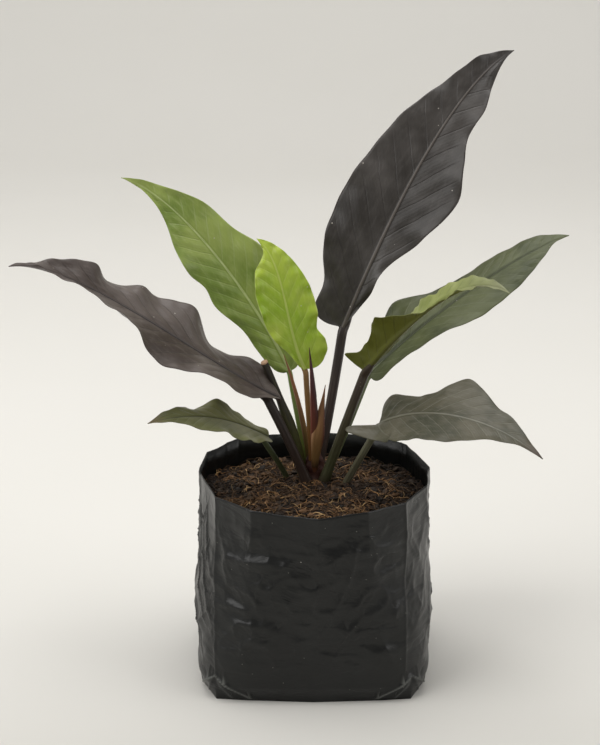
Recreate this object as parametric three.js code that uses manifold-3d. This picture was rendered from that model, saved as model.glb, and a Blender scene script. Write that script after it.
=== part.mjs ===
// A young anthurium growing in a black gusseted grow bag.
// Millimetres, +Z up. The origin is the middle of the bag's flat bottom, X runs to the right
// and Y to the rear. The plant stands a little behind the middle of the bag.
import * as THREE from 'three';
import { mergeVertices } from 'three/addons/utils/BufferGeometryUtils.js';
import Module from 'manifold-3d';

const wasm = await Module();
wasm.setup();

// ---- driving dimensions ----
const GAP = 0.3; // clearance between pieces that touch
const BAG_HEIGHT = 134;
const BAG_WALL = 1;
const BAG_FLOOR = 1;
const BAG_SIDES = 40; // points round the bag
const SOIL_EDGE = 115; // soil level at the wall
const SOIL_MOUND = 5; // how far the soil rises at the plant
const STEM = new THREE.Vector3(1, 25, 0); // axis of the stem
const STEM_BOTTOM = 96;
const BLADE_THICKNESS = 0.9;
const MIDRIB_DEPTH = 1.6; // how far the midrib stands under the blade at its base
const RING_STEP = 8; // length of blade or stalk between two sections
const STALK_SIDES = 10;
const STEM_SIDES = 16;
const STEM_PROFILE = [[6.5, 0], [8, 6], [8.2, 16], [7.6, 26], [6.2, 35], [4, 43], [2, 46]]; // radius, height
const KNOT_DEPTH = 12; // the knot under the stem that the roots leave
const KNOT_RADIUS = [[0, 6], [1, 4]];
const ROOT_COUNT = 7;
const ROOT_TURN = 0.3; // bearing of the first root, in radians
const ROOT_REACH = 34; // how far out a root goes, and by how much that differs
const ROOT_REACH_SPREAD = 8;
const ROOT_DEPTH = 58; // how far down it goes, and by how much that differs
const ROOT_DEPTH_SPREAD = 16;
const ROOT_PATH = [[0, 0], [0.6, 0.03], [1, 0.4], [0.9, 1]]; // shares of its reach and its depth
const ROOT_RADIUS = [[0, 2.4], [1, 0.9]];
const LOBE_END = 0.22; // place along the rib where the sweep of the lobes starts
const BASE_ROUND = 0.06; // the blade's corners at the base are rounded off over this part of the rib
const BASE_START = 0.25; // width of the very first blade section, as a share of the full width
const BASE_PLACES = [0, 0.006, 0.022, BASE_ROUND]; // sections of the rounded base
const WAVE_POWER = 1.6; // how sharply a wave of the margin dies away towards the midrib
const TIP_HALF_WIDTH = 0.5; // no blade section is narrower than this
const ACROSS = [-1, -0.7, -0.35, 0, 0.35, 0.7, 1]; // places across a blade, margin to margin
const LEVEL = [[0, 0], [1, 0]]; // a value that stays 0 along the rib
const EVEN_FOLD = [[0, 8], [1, 8]]; // the usual V of a blade, in degrees

// ---- shape tools ----
const point = ([x, y, z]) => new THREE.Vector3(x, y, z);
const arc = (handles) => new THREE.CubicBezierCurve3(...handles.map(point));

// Smooth curve through a few [place, value] points, with slopes taken from the neighbours.
function smooth(points, at) {
  const last = points.length - 1;
  const x = THREE.MathUtils.clamp(at, points[0][0], points[last][0]);
  let i = 0;
  while (i < last - 1 && x >= points[i + 1][0]) i += 1;
  const slope = (k) => {
    const [x0, y0] = points[Math.max(k - 1, 0)];
    const [x1, y1] = points[k];
    const [x2, y2] = points[Math.min(k + 1, last)];
    if (k === 0) return (y2 - y1) / (x2 - x1);
    if (k === last) return (y1 - y0) / (x1 - x0);
    const before = (y1 - y0) / (x1 - x0);
    const after = (y2 - y1) / (x2 - x1);
    return (before * (x2 - x1) + after * (x1 - x0)) / (x2 - x0);
  };
  const [xa, ya] = points[i];
  const [xb, yb] = points[i + 1];
  const h = xb - xa;
  const u = (x - xa) / h;
  return (2 * u ** 3 - 3 * u ** 2 + 1) * ya + (u ** 3 - 2 * u ** 2 + u) * h * slope(i)
    + (3 * u ** 2 - 2 * u ** 3) * yb + (u ** 3 - u ** 2) * h * slope(i + 1);
}

// Closed solid through rings that have the same even number of points.
// Each end is closed by strips between the two halves of its ring.
function loft(rings) {
  const count = rings[0].length;
  const index = [];
  for (let r = 0; r < rings.length - 1; r += 1) {
    for (let k = 0; k < count; k += 1) {
      const a = r * count + k;
      const b = r * count + ((k + 1) % count);
      index.push(a, b, b + count, a, b + count, a + count);
    }
  }
  const end = (rings.length - 1) * count;
  for (let k = 0; k < count / 2 - 1; k += 1) {
    const [a, b, c, d] = [k, k + 1, count - 2 - k, count - 1 - k];
    if (b !== c) {
      index.push(a, d, b, b, d, c);
      index.push(end + a, end + b, end + d, end + b, end + c, end + d);
    }
  }
  const geometry = new THREE.BufferGeometry();
  const numbers = rings.flat().flatMap((p) => p.toArray());
  geometry.setAttribute('position', new THREE.Float32BufferAttribute(numbers, 3));
  geometry.setIndex(index);
  return volume(geometry) < 0 ? turned(geometry) : geometry;
}

function volume(geometry) {
  const position = geometry.getAttribute('position');
  const corner = (i) => new THREE.Vector3().fromBufferAttribute(position, geometry.index.getX(i));
  let total = 0;
  for (let i = 0; i < geometry.index.count; i += 3) {
    total += corner(i).dot(corner(i + 1).cross(corner(i + 2))) / 6;
  }
  return total;
}

function turned(geometry) {
  const index = Array.from(geometry.index.array);
  for (let i = 0; i < index.length; i += 3) {
    [index[i], index[i + 1]] = [index[i + 1], index[i]];
  }
  geometry.setIndex(index);
  return geometry;
}

function toSolid(geometry) {
  const merged = mergeVertices(geometry, 1e-5);
  return new wasm.Manifold(new wasm.Mesh({
    numProp: 3,
    vertProperties: new Float32Array(merged.getAttribute('position').array),
    triVerts: new Uint32Array(merged.index.array),
  }));
}

function toGeometry(solid) {
  const mesh = solid.getMesh();
  const geometry = new THREE.BufferGeometry();
  geometry.setAttribute('position', new THREE.BufferAttribute(mesh.vertProperties, 3));
  geometry.setIndex(new THREE.BufferAttribute(mesh.triVerts, 1));
  return geometry;
}

// ---- the model: pieces are added in order, and each is cut clear of the ones before it ----
const plant = new THREE.Group();
const cutters = [];

function add(name, color, roughness, geometry) {
  geometry.computeVertexNormals();
  const mesh = new THREE.Mesh(geometry, new THREE.MeshStandardMaterial({ color, roughness, metalness: 0 }));
  mesh.name = name;
  plant.add(mesh);
}

// build(grow) returns the piece's geometry, swollen by grow.
function addFitted(name, color, roughness, build) {
  let solid = toSolid(build(0));
  for (const cutter of cutters) solid = solid.subtract(cutter);
  cutters.push(toSolid(build(GAP)));
  add(name, color, roughness, toGeometry(solid));
}

// ---- stalks: petioles, sheaths and roots ----
// path: Bezier handles. radius: [place, mm] points. flat: depth of the section over its width.
function stalk({ path, radius, flat = 1, facing = [0, -1, 0] }, grow = 0) {
  const curve = arc(path);
  const steps = Math.max(4, Math.round(curve.getLength() / RING_STEP));
  const rings = [];
  for (let i = 0; i <= steps; i += 1) {
    const t = i / steps;
    const along = curve.getTangent(t);
    const side = along.clone().cross(point(facing)).normalize();
    const front = side.clone().cross(along);
    const centre = curve.getPoint(t);
    if (i === 0) centre.addScaledVector(along, -grow);
    if (i === steps) centre.addScaledVector(along, grow);
    const wide = smooth(radius, t) + grow;
    const deep = smooth(radius, t) * flat + grow;
    const ring = [];
    for (let k = 0; k < STALK_SIDES; k += 1) {
      const angle = ((k + 0.5) * 2 * Math.PI) / STALK_SIDES;
      ring.push(centre.clone().addScaledVector(side, wide * Math.cos(angle))
        .addScaledVector(front, deep * Math.sin(angle)));
    }
    rings.push(ring);
  }
  return loft(rings);
}

// ---- leaf blades ----
// rib: Bezier handles of the midrib, base to tip. face: the way the upper side looks.
// left, right: half widths as [place along the rib, mm], seen on the upper side, tip up.
// liftLeft, liftRight: how far the margin waves out of the plane, towards the upper side.
// roll: turn about the midrib in degrees. fold: angle of the V at the midrib in degrees.
// lobe: how far the left and right corners at the base reach back past the stalk.

function bladeFrame(leaf, t) {
  const curve = arc(leaf.rib);
  const along = curve.getTangent(t);
  const flatSide = along.clone().cross(point(leaf.face)).normalize();
  const flatUp = flatSide.clone().cross(along);
  const roll = THREE.MathUtils.degToRad(smooth(leaf.roll ?? LEVEL, t));
  const side = flatSide.clone().multiplyScalar(Math.cos(roll)).addScaledVector(flatUp, Math.sin(roll));
  const up = flatUp.clone().multiplyScalar(Math.cos(roll)).addScaledVector(flatSide, -Math.sin(roll));
  return { centre: curve.getPoint(t), along, side, up };
}

// Point of the blade at place t along the rib and s across it, offset towards the upper side.
function bladePoint(leaf, t, s, offset, grow) {
  const { centre, along, side, up } = bladeFrame(leaf, t);
  const left = Math.max(1 - t / BASE_ROUND, 0);
  const reach = Math.abs(s) * Math.max(Math.sqrt(1 - left ** 2), BASE_START);
  const width = Math.max(smooth(s < 0 ? leaf.left : leaf.right, t), TIP_HALF_WIDTH) + grow;
  const lift = smooth((s < 0 ? leaf.liftLeft : leaf.liftRight) ?? LEVEL, t);
  const fold = THREE.MathUtils.degToRad(smooth(leaf.fold ?? EVEN_FOLD, t));
  const sweep = (leaf.lobe ?? [0, 0])[s < 0 ? 0 : 1];
  const lobe = sweep * reach ** 2 * Math.max(1 - t / LOBE_END, 0) ** 2;
  return centre.addScaledVector(side, Math.sign(s) * reach * width * Math.cos(fold))
    .addScaledVector(up, reach * width * Math.sin(fold) + lift * reach ** WAVE_POWER + offset)
    .addScaledVector(along, -lobe);
}

function blade(leaf, grow = 0) {
  const steps = Math.round(arc(leaf.rib).getLength() / RING_STEP);
  const even = Array.from({ length: steps + 1 }, (_, i) => i / steps);
  const places = [...BASE_PLACES, ...even.filter((t) => t > 1.3 * BASE_ROUND)];
  return loft(places.map((t) => {
    const half = BLADE_THICKNESS / 2 + grow;
    const rib = MIDRIB_DEPTH * (1 - t);
    const top = ACROSS.map((s) => bladePoint(leaf, t, s, half, grow));
    const bottom = ACROSS.map((s) => bladePoint(leaf, t, s, s === 0 ? -half - rib : -half, grow));
    return [...top, ...bottom.reverse()];
  }));
}

// ---- stem base ----
function stem(grow = 0) {
  return loft(STEM_PROFILE.map(([radius, height], row) => {
    const stretch = row === 0 ? -grow : grow;
    return Array.from({ length: STEM_SIDES }, (_, k) => {
      const angle = ((k + 0.5) * 2 * Math.PI) / STEM_SIDES;
      return new THREE.Vector3(
        STEM.x + (radius + grow) * Math.cos(angle),
        STEM.y + (radius + grow) * Math.sin(angle),
        STEM_BOTTOM + height + stretch,
      );
    });
  }));
}

// ---- roots: thick roots that fan out from under the stem and droop through the soil ----
function roots(grow = 0) {
  const top = STEM_BOTTOM - GAP;
  const below = (share) => [STEM.x, STEM.y, top - share * KNOT_DEPTH];
  let all = toSolid(stalk({ path: [0, 1 / 3, 2 / 3, 1].map(below), radius: KNOT_RADIUS }, grow));
  for (let i = 0; i < ROOT_COUNT; i += 1) {
    const angle = (i * 2 * Math.PI) / ROOT_COUNT + ROOT_TURN;
    const reach = ROOT_REACH + ROOT_REACH_SPREAD * Math.sin(2 * i);
    const depth = ROOT_DEPTH + ROOT_DEPTH_SPREAD * Math.cos(2 * i);
    const path = ROOT_PATH.map(([out, down]) => [
      STEM.x + out * reach * Math.cos(angle),
      STEM.y + out * reach * Math.sin(angle),
      top - KNOT_DEPTH / 2 - down * depth,
    ]);
    all = all.add(toSolid(stalk({ path, radius: ROOT_RADIUS }, grow)));
  }
  return toGeometry(all);
}

// ---- grow bag and soil ----
// A rounded-square section: half sizes along X and Y and the power that squares it, by height.
const BAG_HALF_X = [[0, 76], [6, 77.5], [20, 78.5], [45, 79.5], [134, 80]];
const BAG_HALF_Y = [[0, 74.5], [6, 76], [20, 77], [60, 78.5], [134, 79]];
const BAG_POWER = [[0, 5.4], [20, 4.2], [60, 2.7], [110, 2.2], [134, 2.1]];
const WALL_ROWS = [6, 20, 45, 90, SOIL_EDGE]; // heights of the sections that bag and soil share
const SOIL_CHAMFER = 0.6; // the soil's bottom edge stays clear of the bag's bottom seam
const MOUND_RINGS = [0.8, 0.6, 0.4, 0.2, 0.04]; // sections of the mound, as shares of its width

function bagRing(z, inward, shrink = 1) {
  const halfX = smooth(BAG_HALF_X, z) - inward;
  const halfY = smooth(BAG_HALF_Y, z) - inward;
  const power = smooth(BAG_POWER, z);
  return Array.from({ length: BAG_SIDES }, (_, k) => {
    const angle = ((k + 0.5) * 2 * Math.PI) / BAG_SIDES;
    const [c, s] = [Math.cos(angle), Math.sin(angle)];
    const reach = (Math.abs(c) / halfX) ** power + (Math.abs(s) / halfY) ** power;
    const radius = shrink / reach ** (1 / power);
    return new THREE.Vector3(radius * c, radius * s, z);
  });
}

function growBag() {
  const outer = [0, ...WALL_ROWS, BAG_HEIGHT].map((z) => bagRing(z, 0));
  const inner = [BAG_FLOOR, ...WALL_ROWS, BAG_HEIGHT].map((z) => bagRing(z, BAG_WALL)).reverse();
  return loft([...outer, ...inner]);
}

function soil() {
  const inward = BAG_WALL + GAP;
  const bottom = bagRing(BAG_FLOOR + GAP, inward + SOIL_CHAMFER);
  const body = WALL_ROWS.map((z) => bagRing(z, inward));
  const mound = MOUND_RINGS.map((part) => {
    const rise = SOIL_MOUND * (1 - part ** 2);
    return bagRing(SOIL_EDGE, inward, part).map((p) => p.setZ(SOIL_EDGE + rise));
  });
  // From the top down, so that its faces are split the same way as the inside of the bag.
  return loft([bottom, ...body, ...mound].reverse());
}

// ---- the leaves ----
const LEAVES = [
  {
    name: 'upper_dark', color: 0x4a4440, roughness: 0.45, stalkColor: 0x2b2420,
    rib: [[20, 44, 221.5], [41, 48, 274], [88, 62, 384], [135, 92, 402]],
    face: [-0.25, -1, 0.35], lobe: [10, 0],
    left: [[0, 12], [0.05, 22], [0.12, 24], [0.22, 34], [0.35, 39], [0.5, 34], [0.6, 29], [0.7, 21],
      [0.8, 14], [0.9, 9], [1, 0]],
    right: [[0, 1], [0.06, 3], [0.15, 9], [0.23, 11], [0.35, 26], [0.5, 36], [0.58, 28], [0.66, 19],
      [0.75, 18], [0.85, 9], [0.95, 2], [1, 0]],
    stalk: {
      path: [[2, 28, 116], [8, 29, 150], [15, 39, 185], [20, 44, 221]],
      radius: [[0, 3.1], [1, 3.1]],
    },
  },
  {
    name: 'left_green', color: 0x86a04a, roughness: 0.45, stalkColor: 0x5f7434,
    rib: [[-16, 34, 193.5], [-34, 38, 234], [-88, 50, 313], [-129, 62, 321]],
    face: [0.2, -1, 0.35], lobe: [3, 5],
    left: [[0, 6], [0.1, 12], [0.25, 15], [0.38, 22], [0.45, 20], [0.52, 23], [0.62, 19], [0.72, 10],
      [0.85, 3], [1, 0]],
    right: [[0, 5], [0.1, 14], [0.25, 22], [0.45, 28], [0.55, 21], [0.65, 19], [0.8, 9], [0.92, 3], [1, 0]],
    stalk: {
      path: [[-3, 31, 116], [-8, 30, 150], [-13, 32, 173], [-16, 34, 193]],
      radius: [[0, 2.4], [1, 1.9]],
    },
  },
  {
    name: 'centre_lime', color: 0xa5c23c, roughness: 0.42, stalkColor: 0x8a6a42,
    rib: [[-5.5, 9.5, 203], [-19, 6, 231], [-18, 4, 279], [-37, 14, 291]],
    face: [0.15, -1, 0.3], lobe: [0, 9],
    left: [[0, 2], [0.12, 5], [0.3, 15], [0.45, 18], [0.65, 17], [0.75, 13], [0.85, 4], [1, 0]],
    right: [[0, 4], [0.06, 15], [0.17, 20], [0.25, 17], [0.35, 19], [0.5, 19], [0.65, 15], [0.8, 9], [1, 0]],
    stalk: {
      path: [[0, 24, 118], [-2, 21, 155], [-4, 15, 180], [-4.8, 10.6, 199]],
      radius: [[0, 2.2], [1, 1.9]],
    },
  },
  {
    name: 'left_dark', color: 0x645c55, roughness: 0.48, stalkColor: 0x2c2622,
    rib: [[-21.5, 6.5, 184], [-71, 0, 210], [-156, -14, 288], [-192, -34, 286]],
    face: [0.25, -0.35, 1],
    left: [[0, 4], [0.08, 14], [0.16, 24], [0.22, 26], [0.28, 24], [0.4, 31], [0.55, 25], [0.7, 14],
      [0.85, 4], [1, 0]],
    right: [[0, 5], [0.1, 17], [0.25, 24], [0.4, 28], [0.6, 22], [0.8, 13], [1, 0]],
    liftLeft: [[0, 1], [0.15, 1], [0.25, 4], [0.4, -7], [0.52, 2], [1, 0]],
    liftRight: [[0, 0], [0.1, 1], [0.3, -7], [0.36, 6], [0.42, 3], [0.46, -3], [0.52, 2], [0.62, -5],
      [0.67, 3], [0.8, -2], [1, 0]],
    stalk: {
      path: [[-3, 18, 116], [-10, 14, 138], [-23, 11, 166], [-31.5, 9, 184.5]],
      radius: [[0, 3.7], [1, 3.2]],
    },
  },
  {
    name: 'right_rear_green', color: 0x5f6c50, roughness: 0.5, stalkColor: 0x465232,
    rib: [[37, 25.5, 194.5], [71, 28, 229], [133, 40, 274], [172, 52, 284]],
    face: [-0.3, -0.6, 1], lobe: [5, 5],
    left: [[0, 9], [0.1, 14], [0.25, 24], [0.45, 20], [0.7, 16], [0.9, 9], [1, 0]],
    right: [[0, 10], [0.1, 14], [0.3, 20], [0.5, 25], [0.7, 19], [0.82, 10], [0.93, 1], [1, 0]],
    liftLeft: [[0, -4], [0.1, -4], [0.26, 6], [0.4, -6], [0.6, -7], [0.8, -2], [1, 0]],
    liftRight: [[0, -2], [0.2, 4], [0.3, 4], [0.45, -1], [1, 0]],
    stalk: {
      path: [[7, 29, 116], [19, 30, 142], [28, 28.5, 168], [36.6, 25.5, 193.9]],
      radius: [[0, 3], [1, 2.6]],
    },
  },
  {
    name: 'right_front_olive', color: 0x66702a, roughness: 0.45, stalkColor: 0x3a3a28,
    rib: [[33, 4, 203.5], [50, -20, 233], [90, -55, 295], [115, -95, 285]],
    face: [-0.6, 0.2, 0.8],
    roll: [[0, 45], [0.25, 36], [0.4, 12], [0.5, 0], [1, -10]], fold: [[0, 40], [0.5, 35], [1, 20]],
    lobe: [0, 8],
    left: [[0, 4], [0.1, 16], [0.3, 19], [0.42, 13], [0.5, 10], [0.75, 8], [1, 0]],
    right: [[0, 9], [0.035, 19], [0.09, 12], [0.18, 13], [0.27, 18], [0.34, 21], [0.41, 11], [0.47, 5],
      [0.8, 5], [1, 0]],
    stalk: {
      path: [[5, 19, 116], [15, 14, 148], [25, 9, 178], [32.8, 4.3, 203]],
      radius: [[0, 3.5], [1, 3.3]],
    },
  },
  {
    name: 'right_drooping', color: 0x565b50, roughness: 0.5, stalkColor: 0x4f523e,
    rib: [[43, -8, 171], [59, -22, 187], [104, -45, 198], [142, -78, 173]],
    face: [0, -0.5, 1], lobe: [9, 22],
    left: [[0, 13], [0.05, 19], [0.12, 20], [0.25, 18], [0.35, 18], [0.45, 24], [0.52, 29], [0.6, 26],
      [0.7, 18], [0.8, 13], [0.9, 6], [1, 0]],
    right: [[0, 17], [0.1, 19], [0.2, 25], [0.3, 30], [0.45, 32], [0.6, 30], [0.7, 24], [0.8, 12],
      [0.9, 4], [1, 0]],
    liftLeft: [[0, -3], [0.12, 2], [0.3, -2], [0.5, 2], [0.7, -2], [1, 0]],
    liftRight: [[0, 32], [0.012, 27], [0.03, 18], [0.06, 9], [0.1, 0], [0.15, -4], [0.25, -1], [1, 0]],
    stalk: {
      path: [[16, 18, 106], [27, 10, 135], [37, 1, 153], [42.4, -7.4, 169.8]],
      radius: [[0, 2.7], [1, 2.4]],
    },
  },
  {
    name: 'left_low', color: 0x5f6650, roughness: 0.5, stalkColor: 0x4c5638,
    rib: [[-30, 10, 155], [-52, 0, 171], [-74, -18, 185], [-107, -38, 182]],
    face: [0, -0.4, 1], lobe: [5, 3],
    left: [[0, 6], [0.1, 12], [0.28, 23], [0.55, 23], [0.7, 17], [0.82, 7], [1, 0]],
    right: [[0, 6], [0.1, 10], [0.3, 14], [0.45, 16], [0.65, 12], [0.8, 8], [1, 0]],
    liftRight: [[0, 0], [0.2, -4], [0.42, 2], [0.6, -4], [0.78, 1], [1, 0]],
    stalk: {
      path: [[-13, 33, 106], [-21, 26, 128], [-29, 18, 141], [-33.4, 11, 152.2]],
      radius: [[0, 2.2], [1, 1.8]],
    },
  },
];

// ---- the small pieces of the crown ----
const CROWN = [
  {
    name: 'leaf_spear', color: 0x5a1f28,
    path: [[1, 21, 121], [2, 13, 160], [0, 7, 190], [-3, 1, 221]],
    radius: [[0, 2.2], [0.3, 2.8], [0.6, 2.2], [1, 0.3]], flat: 0.8,
  },
  {
    name: 'front_sheath', color: 0x8a6238,
    path: [[1, 16.5, 131], [2, 11, 150], [5, 12, 172], [8, 13, 191]],
    radius: [[0, 2], [0.2, 3.2], [0.42, 4.2], [0.54, 3.6], [0.7, 2.2], [0.88, 0.8], [1, 0.3]], flat: 0.5,
  },
  {
    name: 'cut_petiole_stub', color: 0x35302a,
    path: [[-6, 26, 118], [-12, 20, 150], [-22, 18, 180], [-33, 14, 207]],
    radius: [[0, 3], [0.4, 3.6], [0.7, 2.6], [1, 2.4]],
  },
  {
    name: 'side_cataphyll', color: 0x7e5a3e,
    path: [[-1, 27, 123], [-6, 23, 160], [-11, 24, 182], [-20, 27, 208]],
    radius: [[0, 2], [0.5, 1.6], [1, 0.3]], flat: 0.5,
  },
  {
    name: 'red_bract', color: 0x6e3026,
    path: [[7, 22, 116], [10, 21, 122], [12, 21, 128], [13, 22, 134]],
    radius: [[0, 2], [1, 0.4]], flat: 0.5,
  },
];

addFitted('stem_base', 0x2e1c18, 0.6, stem);
addFitted('roots', 0x9c8462, 0.8, roots);
for (const leaf of LEAVES) {
  addFitted(`petiole_${leaf.name}`, leaf.stalkColor, 0.5, (grow) => stalk(leaf.stalk, grow));
}
for (const piece of CROWN) {
  addFitted(piece.name, piece.color, 0.5, (grow) => stalk(piece, grow));
}
for (const leaf of LEAVES) {
  addFitted(`blade_${leaf.name}`, leaf.color, leaf.roughness, (grow) => blade(leaf, grow));
}
addFitted('soil', 0x33261c, 0.95, soil);
add('grow_bag', 0x17191a, 0.35, growBag());

export default plant;
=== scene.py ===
"""Looks of a young anthurium in a black gusseted grow bag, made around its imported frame.

Metres, +Z up, X to the right, Y to the rear, origin in the middle of the bag's flat bottom.
Every new piece is a surface worked out with numpy on a grid, and rides on the one body, root.
Leaf and stalk shapes are given in millimetres, as in the frame's own solids.
"""

import math

import bpy
import numpy as np
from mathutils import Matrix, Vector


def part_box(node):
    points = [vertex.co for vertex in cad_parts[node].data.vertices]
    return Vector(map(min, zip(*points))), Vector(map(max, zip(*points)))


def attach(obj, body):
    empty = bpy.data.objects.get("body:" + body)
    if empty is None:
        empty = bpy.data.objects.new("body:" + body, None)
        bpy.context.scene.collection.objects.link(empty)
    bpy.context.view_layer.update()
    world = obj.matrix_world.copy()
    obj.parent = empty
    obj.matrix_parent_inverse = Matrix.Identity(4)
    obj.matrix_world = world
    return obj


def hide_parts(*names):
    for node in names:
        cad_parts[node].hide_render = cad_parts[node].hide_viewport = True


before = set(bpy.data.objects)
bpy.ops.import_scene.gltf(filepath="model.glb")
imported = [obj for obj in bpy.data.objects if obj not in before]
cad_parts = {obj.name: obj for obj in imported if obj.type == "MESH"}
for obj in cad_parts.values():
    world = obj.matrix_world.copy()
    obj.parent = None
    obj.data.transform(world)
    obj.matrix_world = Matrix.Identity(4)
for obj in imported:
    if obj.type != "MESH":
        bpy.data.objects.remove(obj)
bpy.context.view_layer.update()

MM = 0.001
BODY = "root"
DETAIL = 1.0  # share of the full grid density
TURN = 2 * np.pi
VIEWER = np.array([0.0, -1.0, 0.0])  # the way to the viewer


def add_object(name, data):
    """A new object in the scene with that data."""
    thing = bpy.data.objects.new(name, data)
    bpy.context.scene.collection.objects.link(thing)
    return thing


# ---------------------------------------------------------------- camera

LENS = 88.7  # mm, with a sensor 36 mm wide
CAMERA_AT = (-0.009, -1.150, 0.582)
CAMERA_TILT = 71.8  # degrees up from straight down


def add_camera():
    """A long lens in front of the plant, a little above it, tilted down."""
    lens = bpy.data.cameras.new("camera")
    lens.lens = LENS
    lens.sensor_width = 36
    camera = add_object("camera", lens)
    camera.location = CAMERA_AT
    camera.rotation_euler = (math.radians(CAMERA_TILT), 0, 0)
    bpy.context.scene.camera = camera
    bpy.context.scene.view_settings.view_transform = "Standard"


# ---------------------------------------------------------------- curves and noise

def smooth(points, at):
    """Cubic curve through (place, value) points, with each slope averaged from its neighbours."""
    places, values = np.array(points, float).T
    if len(places) > 2:
        slopes = np.gradient(values, places)
    else:
        slopes = np.full(2, (values[1] - values[0]) / (places[1] - places[0]))
    at = np.clip(at, places[0], places[-1])
    i = np.clip(np.searchsorted(places, at, side="right") - 1, 0, len(places) - 2)
    step = places[i + 1] - places[i]
    u = (at - places[i]) / step
    return (
        (2 * u**3 - 3 * u**2 + 1) * values[i] + (u**3 - 2 * u**2 + u) * step * slopes[i]
        + (3 * u**2 - 2 * u**3) * values[i + 1] + (u**3 - u**2) * step * slopes[i + 1]
    )


def ease(low, high, at):
    """0 below low, 1 above high, and 3u^2 - 2u^3 between them."""
    u = np.clip((at - low) / (high - low), 0, 1)
    return u * u * (3 - 2 * u)


def bezier(handles, t):
    """Cubic Bezier point: (1-t)^3 a + 3(1-t)^2 t b + 3(1-t) t^2 c + t^3 d."""
    a, b, c, d = np.array(handles, float)
    t = np.asarray(t, float)[..., None]
    return (1 - t)**3 * a + 3 * (1 - t)**2 * t * b + 3 * (1 - t) * t**2 * c + t**3 * d


def bezier_direction(handles, t):
    """Unit tangent of the same curve, from its derivative."""
    a, b, c, d = np.array(handles, float)
    t = np.asarray(t, float)[..., None]
    return unit((1 - t)**2 * (b - a) + 2 * (1 - t) * t * (c - b) + t**2 * (d - c))


def unit(vectors):
    """Vectors divided by their lengths."""
    return vectors / np.maximum(np.linalg.norm(vectors, axis=-1, keepdims=True), 1e-12)


def lattice(seed, u, v, across, up):
    """Noise from -1 to 1: seeded values on across by up cells, joined by u^2 (3 - 2u).
    It repeats as u goes from 0 to 1, and stays within its last cell as v passes 0 or 1."""
    table = np.random.default_rng(seed).uniform(-1, 1, (across, up + 1))
    x = np.mod(u, 1) * across
    y = np.clip(v, 0, 1) * up
    i = np.minimum(x.astype(int), across - 1)
    j = np.minimum(y.astype(int), up - 1)
    fx = ease(0, 1, x - i)
    fy = ease(0, 1, y - j)
    i1 = (i + 1) % across
    low = table[i, j] * (1 - fx) + table[i1, j] * fx
    high = table[i, j + 1] * (1 - fx) + table[i1, j + 1] * fx
    return low * (1 - fy) + high * fy


def ridges(seed, u, v, across, up, power):
    """The same noise as sharp crests from 0 to 1: 1 less its size, to a power."""
    return (1 - np.abs(lattice(seed, u, v, across, up)))**power


def round_turn(columns):
    """Directions in radians, evenly round a ring."""
    return (np.arange(columns) + 0.5) * TURN / columns


def polar(radius, angle):
    """X and Y of places at that distance and direction from the axis."""
    return radius * np.cos(angle), radius * np.sin(angle)


def rows_of(count):
    return 2 * max(2, round(count * DETAIL / 2))


# ---------------------------------------------------------------- meshes

def tube_faces(rows, columns):
    """Quads of a tube of rows rings, closed at both ends by strips across the ring."""
    r, k = np.meshgrid(np.arange(rows - 1), np.arange(columns), indexing="ij")
    near = r * columns + k
    far = r * columns + (k + 1) % columns
    side = np.stack([near, far, far + columns, near + columns], -1).reshape(-1, 4)
    k = np.arange(columns // 2 - 1)
    cap = np.stack([k, columns - 1 - k, columns - 2 - k, k + 1], -1)
    return np.concatenate([side, cap, cap[:, ::-1] + (rows - 1) * columns])


def outward(points, faces):
    """The faces, turned round if the volume they enclose comes out negative."""
    a, b, c, d = (points[faces[:, k]] for k in range(4))
    volume = np.einsum("ij,ij->", a, np.cross(b, c)) + np.einsum("ij,ij->", a, np.cross(c, d))
    return faces if volume > 0 else faces[:, ::-1]


def tube(rings):
    """Points and outward faces of a closed tube through rings, an array rows x columns x 3."""
    points = rings.reshape(-1, 3)
    return points, outward(points, tube_faces(*rings.shape[:2]))


def smooth_mesh(name, points, faces, finish):
    """A smooth mesh of quads with its material."""
    mesh = bpy.data.meshes.new(name)
    mesh.from_pydata(points.tolist(), [], faces.tolist())
    mesh.polygons.foreach_set("use_smooth", np.ones(len(faces), bool))
    mesh.materials.append(finish)
    return mesh


def piece(name, shape, finish, replaces=(), attributes=None):
    """A smooth mesh of quads with its material and point attributes, riding on the body."""
    mesh = smooth_mesh(name, *shape, finish)
    for key, values in (attributes or {}).items():
        layer = mesh.attributes.new(key, "FLOAT_VECTOR", "POINT")
        layer.data.foreach_set("vector", np.asarray(values, np.float32).ravel())
    thing = add_object(name, mesh)
    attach(thing, BODY)
    if replaces:
        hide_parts(*replaces)


# ---------------------------------------------------------------- shader writing

class Value:
    """A number or colour that changes over the surface. Arithmetic on it adds Math nodes."""

    def __init__(self, finish, socket):
        self.finish = finish
        self.socket = socket

    def math(self, operation, *others):
        """A Math node that works on this value and the others."""
        inputs = dict(enumerate((self, *others)))
        return self.finish.node("ShaderNodeMath", {"operation": operation}, inputs)

    def __add__(self, other):
        return self.math("ADD", other)

    def __sub__(self, other):
        return self.math("SUBTRACT", other)

    def __rsub__(self, other):
        return self.finish.node("ShaderNodeMath", {"operation": "SUBTRACT"}, {0: other, 1: self})

    def __mul__(self, other):
        return self.math("MULTIPLY", other)

    def __truediv__(self, other):
        return self.math("DIVIDE", other)

    __radd__ = __add__
    __rmul__ = __mul__

    def between(self, low, high):
        """0 at low and 1 at high, eased. low may be the larger of the two."""
        settings = {"interpolation_type": "SMOOTHSTEP"}
        if low < high:
            return self.finish.node("ShaderNodeMapRange", settings, {0: self, 1: low, 2: high})
        return 1 - self.finish.node("ShaderNodeMapRange", settings, {0: self, 1: high, 2: low})


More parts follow.
